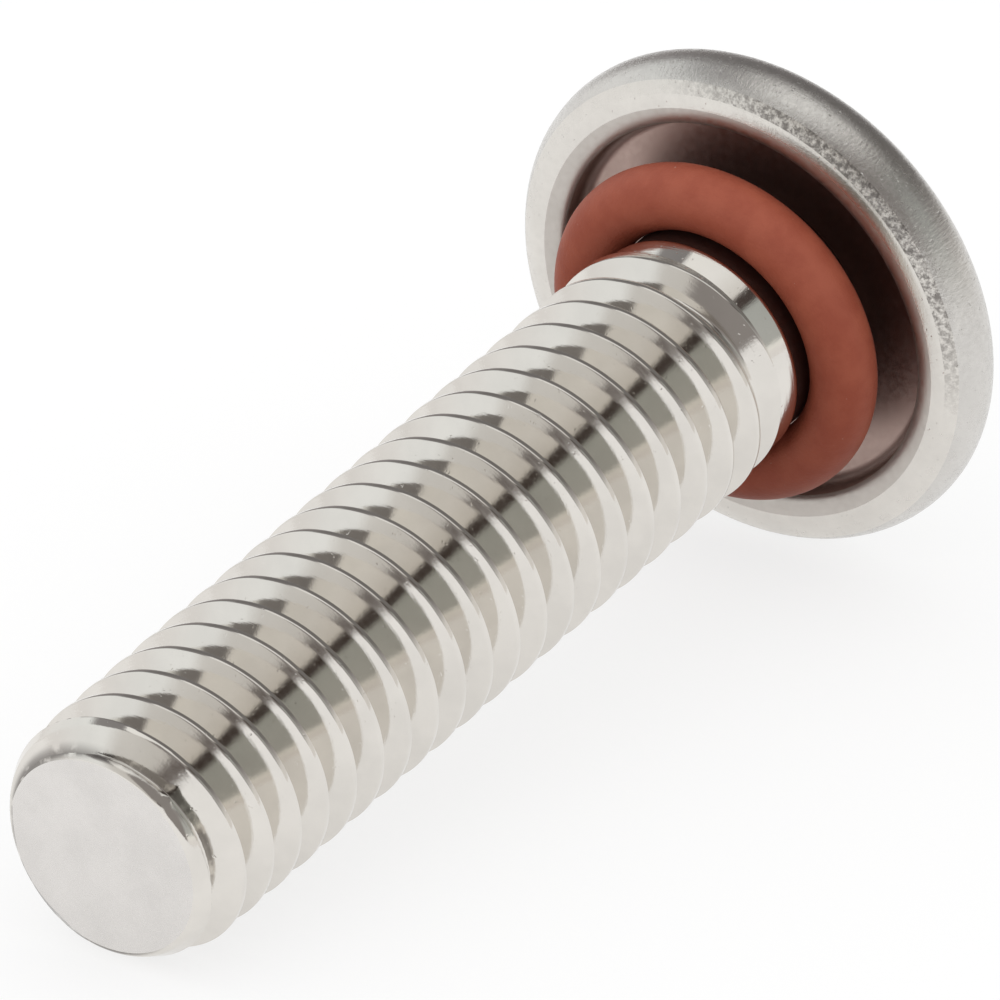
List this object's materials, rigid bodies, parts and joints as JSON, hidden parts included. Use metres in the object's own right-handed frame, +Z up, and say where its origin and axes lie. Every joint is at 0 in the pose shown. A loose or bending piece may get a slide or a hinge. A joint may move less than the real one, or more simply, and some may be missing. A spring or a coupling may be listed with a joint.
{
  "type": "sealing pan head machine screw",
  "caption": "Machine screw with a low domed pan head and a silicone ring seated in a groove under the head, which seals the hole when it is tightened",
  "frame": {"origin": "Centre of the bounding box in plan, on the floor the screw lies on", "axes": "+X runs along the lying screw towards its head, +Z is up; the screw's own axis rises 7.3 degrees towards the head in the XZ plane"},
  "size_m": [0.0188, 0.008, 0.008],
  "materials": {
    "stainless": "bright tumbled stainless steel, rolled thread, fine handling scratches",
    "silicone": "matte orange-red silicone"
  },
  "bodies": {
    "root": {"screw": "stainless", "o_ring": "silicone"}
  },
  "joints": []
}
